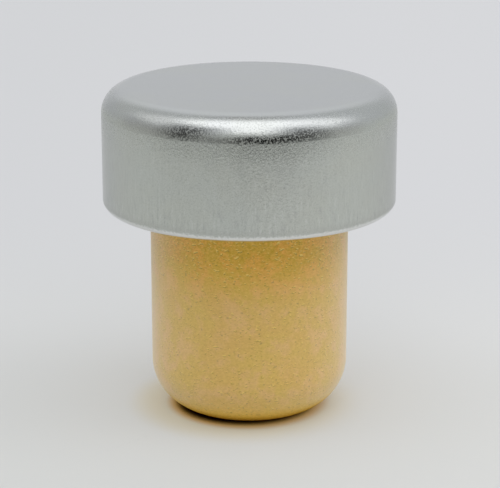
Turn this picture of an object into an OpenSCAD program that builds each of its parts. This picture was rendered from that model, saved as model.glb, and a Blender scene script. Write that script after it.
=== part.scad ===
// Bar-top cork: a stopper for a spirits bottle. A drawn metal shell is rolled in round
// a ribbed plastic insert, and a round-nosed cork is glued into the insert's socket.
// Millimetres. The origin is the middle of the cork's flat end, where the stopper
// stands, and +Z runs up its axis to the cap.

/* [Cork] */
// Diameter of the cork's straight barrel
cork_d = 20; // [16:0.1:22]
// Length of cork that shows below the cap
cork_drop = 21.2; // [16:0.1:30]
// Radius that rounds the cork's nose
nose_r = 5; // [1:0.1:7]
// Width of the shoulder where the cork meets the cap, outside the spigot that is glued in
shoulder_w = 0.5; // [0.3:0.1:1]
// Radius round the spigot's end
spigot_end_r = 0.5; // [0.2:0.1:1]

/* [Metal shell] */
// Diameter over the shell
cap_d = 29.5; // [28:0.1:36]
// Height of the shell
cap_h = 12.1; // [10:0.1:16]
// Thickness of the drawn sheet
sheet_t = 0.4; // [0.3:0.05:0.5]
// Radius outside the shell's top corner
crown_r = 2.5; // [1:0.1:3.5]
// Radius outside the rolled lower edge
roll_r = 0.8; // [0.6:0.05:1.2]
// Width of the rolled lower edge, from the outside of the shell
roll_w = 1.6; // [1.3:0.05:2]

/* [Plastic insert] */
// Depth of the socket that holds the cork's spigot
socket_depth = 4; // [2:0.1:5]
// Roof between the socket and the pockets above it
roof_t = 1.6; // [1:0.1:2.5]
// Width of the flat rim round the pockets that bears on the shell
rim_w = 0.5; // [0.2:0.1:1]
// Diameter of the hub in the middle of the pockets
hub_d = 5; // [3:0.1:8]
// Number of ribs from the hub to the skirt
rib_count = 8; // [4:1:12]
// Thickness of a rib
rib_t = 1.2; // [0.8:0.1:1.6]

/* [Fits] */
// Gap all round between the insert and the shell
shell_gap = 0.05; // [0:0.01:0.15]
// Gap between the insert's underside and the end of the rolled edge
roll_gap = 0.1; // [0.05:0.01:0.3]
// Glue line round the spigot and over its end
glue_gap = 0.05; // [0.02:0.01:0.15]

/* [Hidden] */
$fn = 96;
// How far a cut runs past the face that it opens
past = 1;
cap_r = cap_d / 2;
cork_r = cork_d / 2;
spigot_r = cork_r - shoulder_w;
// The inside of the shell, which the insert fills
hollow_r = cap_r - sheet_t;
hollow_top = cap_h - sheet_t;
inner_crown_r = crown_r - sheet_t;
inner_roll_r = roll_r - sheet_t;
// The mouth that the rolled edge leaves open
shell_mouth_r = cap_r - roll_w;
insert_r = hollow_r - shell_gap;
seat_r = shell_mouth_r - roll_gap;
socket_r = spigot_r + glue_gap;
pocket_floor = socket_depth + roof_t;
// The rim ends where the shell's crown starts to curve down
pocket_r = insert_r - inner_crown_r - rim_w;

// A quarter of a disc, with its corner at the origin
module quarter_disc(r) {
    intersection() {
        circle(r = r);
        square(r);
    }
}

// Half the section of a turned block: x is the radius and y the height.
// low_r rounds the lower rim, and high_r the upper one, where it isn't 0.
module turned_section(r, bottom, top, low_r = 0, high_r = 0) {
    translate([0, bottom + low_r]) square([r, top - high_r - bottom - low_r]);
    if (low_r > 0) {
        translate([0, bottom]) square([r - low_r, low_r]);
        translate([r - low_r, bottom + low_r]) mirror([0, 1]) quarter_disc(low_r);
    }
    if (high_r > 0) {
        translate([0, top - high_r]) square([r - high_r, high_r]);
        translate([r - high_r, top - high_r]) quarter_disc(high_r);
    }
}

// The drawn shell: one sheet that runs over the crown, down the side and in under
// the insert, where it ends at the mouth.
module cap_shell() {
    color("silver")
    translate([0, 0, cork_drop])
    rotate_extrude()
    difference() {
        turned_section(cap_r, 0, cap_h, roll_r, crown_r);
        turned_section(hollow_r, sheet_t, hollow_top, inner_roll_r, inner_crown_r);
        translate([0, -past]) square([shell_mouth_r, 2 * past + sheet_t]);
    }
}

// The insert's outside: it fills the shell, and its seat comes down through the
// shell's mouth, level with the rolled edge.
module insert_blank() {
    rotate_extrude() {
        turned_section(insert_r, sheet_t, hollow_top, inner_roll_r, inner_crown_r);
        square([seat_r, sheet_t]);
    }
}

// The socket for the cork's spigot
module socket_cut() {
    translate([0, 0, -past]) cylinder(r = socket_r, h = past + socket_depth);
}

// The wheel of ribs and hub that is left standing between the pockets
module rib_wheel() {
    pocket_h = hollow_top - pocket_floor;
    translate([0, 0, pocket_floor]) {
        cylinder(d = hub_d, h = pocket_h);
        for (i = [0 : rib_count - 1])
            rotate(i * 360 / rib_count)
            translate([0, -rib_t / 2])
            cube([insert_r, rib_t, pocket_h]);
    }
}

// The pockets that keep the moulding's walls even. They open upwards, under the crown.
module pocket_cut() {
    difference() {
        translate([0, 0, pocket_floor]) cylinder(r = pocket_r, h = hollow_top);
        rib_wheel();
    }
}

module cap_insert() {
    color("white")
    translate([0, 0, cork_drop])
    difference() {
        insert_blank();
        socket_cut();
        pocket_cut();
    }
}

// The cork stands on its flat end. Its shoulder meets the insert's seat, and the narrower
// spigot above it is glued into the socket.
module cork() {
    spigot_top = cork_drop + socket_depth - glue_gap;
    color("burlywood")
    rotate_extrude() {
        turned_section(cork_r, 0, cork_drop, nose_r);
        turned_section(spigot_r, nose_r, spigot_top, 0, spigot_end_r);
    }
}

cap_shell();
cap_insert();
cork();
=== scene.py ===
"""A bar-top cork standing on a pale table: a satin metal shell rolled in round a plastic
insert, over a round-nosed cork. Lengths are in metres, in the part's own frame: the origin
is the middle of the cork's flat end, and +Z runs up to the cap. The camera looks along +Y."""

import math
from collections import namedtuple

import bpy
import numpy as np
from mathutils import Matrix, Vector


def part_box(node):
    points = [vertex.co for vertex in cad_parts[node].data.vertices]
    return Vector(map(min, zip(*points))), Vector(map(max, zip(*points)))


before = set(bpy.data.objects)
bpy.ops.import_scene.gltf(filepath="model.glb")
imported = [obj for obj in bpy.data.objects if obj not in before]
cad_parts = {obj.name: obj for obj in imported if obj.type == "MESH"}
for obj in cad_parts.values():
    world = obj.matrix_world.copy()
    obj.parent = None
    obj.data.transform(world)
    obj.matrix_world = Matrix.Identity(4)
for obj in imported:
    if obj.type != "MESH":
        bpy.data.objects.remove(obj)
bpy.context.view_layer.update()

MM = 0.001

# Sizes from the frame
shell_low, shell_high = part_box("cap_shell")
cork_low, cork_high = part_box("cork")
CORK_R = (cork_high.x - cork_low.x) / 2
CAP_BASE = shell_low.z
CAP_TOP = shell_high.z

# Radii of the shell's bend at the top and of its rolled edge, in millimetres
BEND_R = 2.5
ROLL_R = 0.8

# Directions from the object are an azimuth and a slope in degrees. The azimuth is 0 on the
# camera's side and 90 on the right, and the slope is the height above the horizon.

# Where the photograph was taken from. The aim is a little off the object's middle.
CAMERA_DISTANCE = 200 * MM
CAMERA_SLOPE = 16.3
LENS = 141.6
SENSOR = 36.0
AIM = Vector((0.07 * MM, 0, CAP_TOP / 2 + 0.24 * MM))

# The soft lamp
LAMP_SIZE = 160 * MM
LAMP_DISTANCE = 350 * MM
LAMP_AZIMUTH = 85
LAMP_SLOPE = 40
LAMP_POWER = 0.05

# The table: half its width, the share of its own glow that the camera and the metal see,
# where the metal's view of it ends, and where the camera's view of it fades to the backdrop
TABLE_REACH = 3.0
GLOW_SHARE = 0.35
METAL_VIEW_ENDS = (148 * MM, 164 * MM)
CAMERA_VIEW_FADES = (300 * MM, 1200 * MM)

# The backdrop that the camera sees, and the strength of the room's light all round
BACKDROP = (0.605, 0.611, 0.61)
ROOM_STRENGTH = 1.15

# Soft-edged parts of the room for the metal to mirror: how bright each is, its left and
# right edges in azimuth, its lower and upper edges in slope, and how soft the edges are.
# A later one lies over an earlier one.
RoomPart = namedtuple("RoomPart", "level left right low high soft")
ROOM_PARTS = {
    "left lamp": RoomPart(0.90, left=-118, right=-76, low=32, high=56, soft=12),
    "right lamp": RoomPart(1.36, left=58, right=100, low=33, high=64, soft=14),
    "front lamp": RoomPart(1.50, left=-20, right=28, low=33, high=64, soft=12),
    "left curtain": RoomPart(0.42, left=-112, right=-66, low=-8, high=26, soft=9),
    "right curtain": RoomPart(0.46, left=62, right=94, low=-8, high=22, soft=9),
    "left screen": RoomPart(0.05, left=-70, right=-36, low=-10, high=44, soft=12),
    "right screen": RoomPart(0.09, left=30, right=62, low=-10, high=39, soft=12),
    "low screen": RoomPart(0.22, left=-40, right=0, low=-30, high=11, soft=8),
    "front screen": RoomPart(0.005, left=-12, right=38, low=-30, high=19, soft=6),
}


# Shader maths as Python expressions


class Graph:
    """The node tree of one material, or of the world."""

    def __init__(self, owner):
        self.owner = owner
        owner.use_nodes = True
        self.tree = owner.node_tree
        self.tree.nodes.clear()

    @classmethod
    def of_material(cls, name):
        """The empty tree of a new material."""
        return cls(bpy.data.materials.new(name))

    def node(self, kind, settings=None, inputs=None, output=0):
        """Adds a node: its settings first, then the values or links of its sockets.
        Gives back the output that is asked for, by number or name."""
        made = self.tree.nodes.new("ShaderNode" + kind)
        for key, value in (settings or {}).items():
            setattr(made, key, value)
        for key, value in (inputs or {}).items():
            self.put(made.inputs[key], value)
        return None if output is None else Number(self, made.outputs[output])

    def put(self, socket, value):
        """Links a socket to a Number, or sets it to a plain value."""
        if isinstance(value, Number):
            self.tree.links.new(value.socket, socket)
        elif socket.type == "RGBA" and len(value) == 3:
            socket.default_value = (*value, 1.0)
        else:
            socket.default_value = value

    def parts(self, vector):
        """The x, y and z of a vector."""
        return [self.node("SeparateXYZ", inputs={"Vector": vector}, output=i) for i in range(3)]

    def spot(self):
        """The x, y and z of the object coordinates."""
        return self.parts(self.node("TexCoord", output="Object"))

    def place(self, scale=(1, 1, 1), turn=(0, 0, 0), shift=(0, 0, 0)):
        """Object coordinates, scaled, turned and then shifted."""
        spot = self.node("TexCoord", output="Object")
        inputs = {"Vector": spot, "Scale": scale, "Rotation": turn, "Location": shift}
        return self.node("Mapping", inputs=inputs)

    def noise(self, size, place=None, detail=2.0, rough=0.5):
        """Smooth noise from 0 to 1, about 0.5, whose lumps are about size across."""
        inputs = {"Vector": place or self.place(), "Scale": 1 / size}
        inputs.update({"Detail": detail, "Roughness": rough})
        return self.node("TexNoise", inputs=inputs)

    def mix(self, share, first, second):
        """The first colour where share is 0 and the second where it is 1. The numbers are
        those of the Mix node's sockets for colours."""
        return self.node("Mix", {"data_type": "RGBA"}, {0: share, 6: first, 7: second}, output=2)

    def blend(self, share, first, second):
        """The first shader where share is 0 and the second where it is 1."""
        return self.node("MixShader", inputs={0: share, 1: first, 2: second})

    def finish(self, shader, output="OutputMaterial"):
        """Puts the shader on the surface and gives back the material or world."""
        self.node(output, inputs={"Surface": shader}, output=None)
        return self.owner


class Number:
    """A node's output. Each sign in an expression adds one Math node."""

    def __init__(self, graph, socket):
        self.graph = graph
        self.socket = socket

    def _math(self, operation, *values):
        """A Math node on the values, in order."""
        inputs = dict(enumerate(values))
        return self.graph.node("Math", {"operation": operation}, inputs)

    def __add__(self, other):
        return self._math("ADD", self, other)

    def __radd__(self, other):
        return self._math("ADD", other, self)

    def __sub__(self, other):
        return self._math("SUBTRACT", self, other)

    def __rsub__(self, other):
        return self._math("SUBTRACT", other, self)

    def __mul__(self, other):
        return self._math("MULTIPLY", self, other)

    def __rmul__(self, other):
        return self._math("MULTIPLY", other, self)

    def __truediv__(self, other):
        return self._math("DIVIDE", self, other)

    def __rtruediv__(self, other):
        return self._math("DIVIDE", other, self)

    def root(self):
        """The square root."""
        return self._math("SQRT", self)

    def degrees_up(self):
        """The angle whose sine this is, in degrees."""
        return self._math("ARCSINE", self) * math.degrees(1)

    def degrees_from(self, ahead):
        """The angle from ahead round to this, in degrees, both being lengths."""
        return self._math("ARCTAN2", self, ahead) * math.degrees(1)

    def rise(self, low, high):
        """0 below low and 1 above high, with a smooth rise between them."""
        settings = {"interpolation_type": "SMOOTHSTEP"}
        inputs = {"Value": self, "From Min": low, "From Max": high}
        return self.graph.node("MapRange", settings, inputs)

    def fall(self, low, high):
        """1 below low and 0 above high, with a smooth fall between them."""
        return 1 - self.rise(low, high)

    def span(self, low, high, soft):
        """1 between low and high and 0 outside, with edges that are soft on both sides."""
        return self.rise(low - soft, low + soft) - self.rise(high - soft, high + soft)


# Finishes


def satin_metal():
    """Drawn aluminium, anodised to a grainy satin. The side carries fine upright drawing
    lines, strongest low down. The grain is coarsest at the bend. The edge that was rolled in
    is paler, with a band of painted shade above it."""
    g = Graph.of_material("satin_metal")
    z = g.spot()[2]
    # Millimetres below the top and above the lower edge
    depth = (CAP_TOP - z) / MM
    height = (z - CAP_BASE) / MM
    side = depth.rise(BEND_R - 0.3, BEND_R + 0.3)
    low_side = height.fall(ROLL_R, 4)
    # The grain is coarsest where the bend turns into the side, and calm is 0 there. It is
    # 0.45 on the bend above that, 0.95 on the top and 1 on the side.
    calm = depth.rise(1.8, 5.0) + depth.fall(1.25, 1.75) * 0.45 + depth.fall(0.1, 0.5) * 0.5

    grain = g.noise(0.22 * MM, detail=3.0, rough=0.65)
    lines = g.noise(0.26 * MM, g.place(scale=(1, 1, 0.16)), detail=3.0, rough=0.7)
    relief = grain * (1 - 0.75 * calm) + lines * side * 0.18
    bump = g.node("Bump", inputs={"Strength": 1.0, "Distance": 0.022 * MM, "Height": relief})

    # Two hues of silver that differ by a hair, in broad clouds
    cloud = g.noise(5 * MM).rise(0.35, 0.65)
    crown_tone = g.mix(cloud, (0.515, 0.532, 0.522), (0.511, 0.527, 0.53))
    side_tone = g.mix(cloud, (0.55, 0.567, 0.525), (0.546, 0.567, 0.533))
    tone = g.mix(depth.rise(1.2, 2.2), crown_tone, side_tone)

    # Paler and darker specks of the grain and of the drawing lines
    pale_speck = (0.64, 0.65, 0.63)
    dark_speck = (0.44, 0.45, 0.44)
    speck = (grain - 0.5) * (0.4 - 0.2 * calm + 0.25 * low_side)
    speck = speck + (lines - 0.5) * side * (0.6 + 0.35 * low_side)
    tone = g.mix(speck.rise(0.0, 0.3), tone, pale_speck)
    tone = g.mix((0 - speck).rise(0.0, 0.3), tone, dark_speck)

    # The rolled edge is paler, with a ragged upper end, and above it is a band of painted shade
    painted_roll_shade = (0.49, 0.50, 0.47)
    paler_roll_tone = (0.79, 0.80, 0.79)
    rolled = (height + (grain - 0.5) * 0.7).fall(0.45, 0.7)
    tone = g.mix(height.fall(ROLL_R, ROLL_R + 0.6) * 0.5, tone, painted_roll_shade)
    tone = g.mix(rolled, tone, paler_roll_tone)

    # Single grains of the satin that scatter more than the metal round them
    frost = g.noise(0.15 * MM, g.place(turn=(0.7, 0.2, 0.5)), detail=1.0).rise(0.50, 0.62)
    frost = frost * (1 - 0.8 * calm)
    inputs = {
        "Base Color": tone,
        "Metallic": 1.0,
        "Roughness": 0.16 - 0.04 * calm + grain * 0.06 + frost * 0.34,
        "Specular Tint": (0.85, 0.85, 0.85),
        "Normal": bump,
    }
    return g.finish(g.node("BsdfPrincipled", inputs=inputs))


def fine_cork():
    """Smooth cork of very fine grain: soft pinkish and olive clouds, small pale curved
    flecks and dark pin marks, under a faint waxy bloom that pales it at a slant."""
    g = Graph.of_material("fine_cork")
    _, y, z = g.spot()
    # Millimetres above the cork's flat end and below the cap
    height = z / MM
    below_cap = (CAP_BASE - z) / MM
    front = y.fall(-0.92 * CORK_R, -0.45 * CORK_R)
    near_cap = below_cap.fall(0.5, 6.5)

    cloud = g.noise(4.5 * MM, detail=3.0, rough=0.55)
    patch = g.noise(1.6 * MM, g.place(turn=(0.5, 0.3, 0.9)), detail=3.0, rough=0.6)
    pale_patch = (0.90, 0.565, 0.21)
    tone = g.mix(cloud.rise(0.35, 0.65), (0.85, 0.535, 0.138), (0.83, 0.556, 0.12))
    tone = g.mix(patch.rise(0.42, 0.66) * 0.85, tone, pale_patch)

    # Painted shade and painted bounced light: richer, browner, darker cork under the cap, most
    # in front, a painted warm bounce of light on the foot, and painted shade towards the flat
    # end
    painted_cap_shade = below_cap.fall(2, 9) * (0.35 + 0.65 * front)
    cap_shade_tone = g.mix(patch.rise(0.4, 0.62), (0.83, 0.485, 0.010), (0.95, 0.475, 0.024))
    painted_foot_bounce = (1.0, 0.64, 0.065)
    painted_end_shade = (0.55, 0.25, 0.02)
    tone = g.mix(painted_cap_shade, tone, cap_shade_tone)
    tone = g.mix(height.fall(0.8, 4), tone, painted_foot_bounce)
    tone = g.mix(height.fall(0.1, 1.8), tone, painted_end_shade)

    # The grain, pale and dark, is strongest near the cap
    grain = g.noise(0.26 * MM, g.place(scale=(1, 1, 1.4)), detail=3.0, rough=0.7)
    pale_grain = g.mix(0.065 + 0.08 * near_cap, tone, (1.0, 0.85, 0.5))
    dark_grain = g.mix(0.14 + 0.18 * near_cap, tone, (0.2, 0.1, 0.0))
    tone = g.mix(grain.rise(0.3, 0.7), pale_grain, dark_grain)

    # Pale flecks where a noise is highest, each with a painted shadow on one side, which is the
    # same noise shifted. More of it counts as a fleck near the cap.
    fleck_tone = (1.0, 0.74, 0.19)
    fleck_shadow_tone = (0.44, 0.24, 0.01)
    fleck_size = 0.36 * MM
    beside = (0.08 * MM, 0.03 * MM, 0.10 * MM)
    lay = {"turn": (0.2, 0.8, 0.1), "scale": (1, 1, 1.8)}
    least = 0.61 - 0.028 * near_cap
    painted_fleck_shadow = g.noise(fleck_size, g.place(**lay, shift=beside), detail=1.5)
    painted_fleck_shadow = painted_fleck_shadow.rise(least, least + 0.10)
    fleck = g.noise(fleck_size, g.place(**lay), detail=1.5).rise(least, least + 0.12)
    tone = g.mix(painted_fleck_shadow * (0.55 + 0.35 * painted_cap_shade), tone, fleck_shadow_tone)
    tone = g.mix(fleck * (0.6 + 0.3 * painted_cap_shade), tone, fleck_tone)

    # Pin marks where another noise is lowest
    pin_tone = (0.33, 0.18, 0.06)
    pin = g.noise(0.26 * MM, g.place(turn=(1.0, 0.1, 0.4)), detail=0.0).fall(0.18, 0.26)
    tone = g.mix(pin * 0.4, tone, pin_tone)

    # The bloom is a sheen with a little gloss, and it is left off round the flat end, which
    # keeps the painted end shade dark
    relief = grain * 0.8 + fleck * 1.2 - pin * 0.8
    bump = g.node("Bump", inputs={"Strength": 0.6, "Distance": 0.02 * MM, "Height": relief})
    inputs = {"Base Color": tone, "Roughness": 0.45 + grain * 0.15, "Normal": bump}
    bloom = {
        "Specular IOR Level": 0.35,
        "Sheen Weight": 0.92,
        "Sheen Roughness": 0.5,
        "Sheen Tint": (1.0, 0.94, 0.88),
    }
    bare = g.node("BsdfPrincipled", inputs={**inputs, "Specular IOR Level": 0.0})
    waxy = g.node("BsdfPrincipled", inputs={**inputs, **bloom})
    return g.finish(g.blend(height.rise(0.8, 3), bare, waxy))


def moulded_plastic():
    """Natural polypropylene from a spark-eroded mould: an even, fine matt grain."""
    g = Graph.of_material("moulded_plastic")
    grain = g.noise(0.12 * MM, rough=0.6)
    cloud = g.noise(3 * MM)
    tone = g.mix(cloud.rise(0.3, 0.7), (0.78, 0.78, 0.74), (0.74, 0.74, 0.70))
    bump = g.node("Bump", inputs={"Strength": 0.4, "Distance": 0.01 * MM, "Height": grain})
    inputs = {"Base Color": tone, "Roughness": 0.42 + grain * 0.1, "Normal": bump}
    return g.finish(g.node("BsdfPrincipled", inputs=inputs))


def dress(node, material):
    """Gives a CAD node one finish all over."""
    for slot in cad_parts[node].material_slots:
        slot.material = material


# Stage


def pale_paint():
    """The table's matt paint: a little bluer far behind the object, with painted light that
    makes it paler on the right and painted shade on the left, and a painted warm dark shadow
    right round the cork's end. The camera and the metal see it with a share of its own glow,
    which lightens the cap's shadow. For the metal it ends a little way from the object, and for
    the camera it fades far off to the backdrop."""
    g = Graph.of_material("pale_paint")
    x, y, _ = g.spot()
    # Painted light and shade: the table is painted darker on the left, where the shadow lies,
    # and paler on the right, towards the lamp
    painted_light_from_right = x.rise(-50 * MM, 50 * MM)
    near = g.mix(painted_light_from_right, (0.67, 0.682, 0.675), (0.725, 0.732, 0.725))
    far = g.mix(painted_light_from_right, (0.67, 0.677, 0.695), (0.695, 0.70, 0.72))
    tone = g.mix(y.rise(-30 * MM, 90 * MM), near, far)

    # The side that openness is judged on leans to the right, where the lamp is, so that the
    # shadow lies to the left
    leaning = g.node("CombineXYZ", inputs={"X": 0.39, "Y": 0.0, "Z": 0.92})

    def open_within(reach):
        """1 out on the table, falling towards 0 where the cork is within reach."""
        inputs = {"Distance": reach, "Normal": leaning}
        return g.node("AmbientOcclusion", {"samples": 16}, inputs, output="AO")

    narrow = open_within(1.4 * MM)
    wide = open_within(4.5 * MM)
    # Painted shadow round the cork's end: a warm tint of light bounced off the cork, a brown
    # penumbra and a near-black contact shadow, set by the openness
    painted_warm_bounce = (0.60, 0.46, 0.11)
    painted_brown_penumbra = (0.60, 0.35, 0.07)
    painted_contact_shadow = (0.015, 0.002, 0.0005)
    tone = g.mix(wide.fall(0.40, 1.0) * 0.3, tone, painted_warm_bounce)
    tone = g.mix(narrow.rise(0.18, 0.84), painted_brown_penumbra, tone)
    tone = g.mix(narrow.rise(0.12, 0.36), painted_contact_shadow, tone)

    inputs = {"Base Color": tone, "Roughness": 0.9, "Specular IOR Level": 0.0}
    matt = g.node("BsdfPrincipled", inputs=inputs)
    glow = g.node("Emission", inputs={"Color": tone, "Strength": 1.0})
    backdrop = g.node("Emission", inputs={"Color": BACKDROP, "Strength": ROOM_STRENGTH})
    seen_by_camera = g.node("LightPath", output="Is Camera Ray")
    seen_by_metal = g.node("LightPath", output="Is Glossy Ray")
    share = (seen_by_camera + seen_by_metal) * GLOW_SHARE * narrow.rise(0.0, 0.42)
    surface = g.blend(share, matt, glow)
    distance = (x * x + y * y).root()
    past_end = seen_by_metal * distance.rise(*METAL_VIEW_ENDS)
    surface = g.blend(past_end, surface, g.node("BsdfTransparent"))
    far_off = seen_by_camera * distance.rise(*CAMERA_VIEW_FADES)
    return g.finish(g.blend(far_off, surface, backdrop))


def table():
    """A flat square under the cork's end, broad enough to fill the view."""
    corners = TABLE_REACH * np.array([(-1, -1, 0), (1, -1, 0), (1, 1, 0), (-1, 1, 0)])
    mesh = bpy.data.meshes.new("table")
    mesh.from_pydata(corners.tolist(), [], [(0, 1, 2, 3)])
    mesh.update()
    mesh.materials.append(pale_paint())
    made = bpy.data.objects.new("table", mesh)
    bpy.context.scene.collection.objects.link(made)


def room_light():
    """The room as a sphere of soft light: even walls, a large soft lamp overhead in front
    that reaches a little behind the object, and the room's parts before and beside it.
    The camera sees a plain pale backdrop instead."""
    g = Graph(bpy.data.worlds.new("room_light"))
    x, y, z = g.parts(g.node("TexCoord", output="Generated"))
    azimuth = x.degrees_from(0 - y)
    slope = z.degrees_up()

    # The wall behind the object is paler, and grey above the height that the cap mirrors
    room = g.mix(x.rise(-0.7, 0.7), (0.545, 0.555, 0.555), (0.585, 0.60, 0.605))
    wall = g.mix(slope.rise(10, 32), (0.69, 0.70, 0.72), (0.81, 0.82, 0.84))
    wall = g.mix(slope.rise(52, 66), wall, (0.5, 0.5, 0.5))
    behind = (y / (x * x + y * y).root()).rise(0.80, 1.0)
    room = g.mix(behind, room, wall)
    overhead = y.fall(-0.12, 0.27) * slope.rise(44, 62)
    room = g.mix(overhead, room, (1.58, 1.58, 1.58))
    for part in ROOM_PARTS.values():
        across = azimuth.span(part.left, part.right, part.soft)
        upward = slope.span(part.low, part.high, part.soft)
        room = g.mix(across * upward, room, (part.level, part.level, part.level))

    room = g.mix(g.node("LightPath", output="Is Camera Ray"), room, BACKDROP)
    background = g.node("Background", inputs={"Color": room, "Strength": ROOM_STRENGTH})
    bpy.context.scene.world = g.finish(background, "OutputWorld")


def add_facing(name, data, target, azimuth, slope, distance):
    """Adds a lamp or camera at a distance from the target, looking back at it."""
    azimuth = math.radians(azimuth)
    slope = math.radians(slope)
    flat = Vector((math.sin(azimuth), -math.cos(azimuth), 0))
    outward = flat * math.cos(slope) + Vector((0, 0, math.sin(slope)))
    made = bpy.data.objects.new(name, data)
    made.location = target + outward * distance
    made.rotation_euler = outward.to_track_quat("Z", "Y").to_euler()
    bpy.context.scene.collection.objects.link(made)
    return made


def soft_lamp():
    """A broad soft lamp above on the right. It models the cork and lays the shadow to the
    left, and metal doesn't mirror it."""
    lamp = bpy.data.lights.new("soft_lamp", "AREA")
    lamp.shape = "DISK"
    lamp.size = LAMP_SIZE
    lamp.energy = LAMP_POWER
    origin = Vector((0, 0, 0))
    made = add_facing("soft_lamp", lamp, origin, LAMP_AZIMUTH, LAMP_SLOPE, LAMP_DISTANCE)
    made.visible_glossy = False


def camera():
    """The camera, straight in front and a little above."""
    lens = bpy.data.cameras.new("camera")
    lens.lens = LENS
    lens.sensor_width = SENSOR
    made = add_facing("camera", lens, AIM, 0, CAMERA_SLOPE, CAMERA_DISTANCE)
    bpy.context.scene.camera = made


dress("cap_shell", satin_metal())
dress("cap_insert", moulded_plastic())
dress("cork", fine_cork())
table()
room_light()
soft_lamp()
camera()
bpy.context.scene.view_settings.view_transform = "Standard"
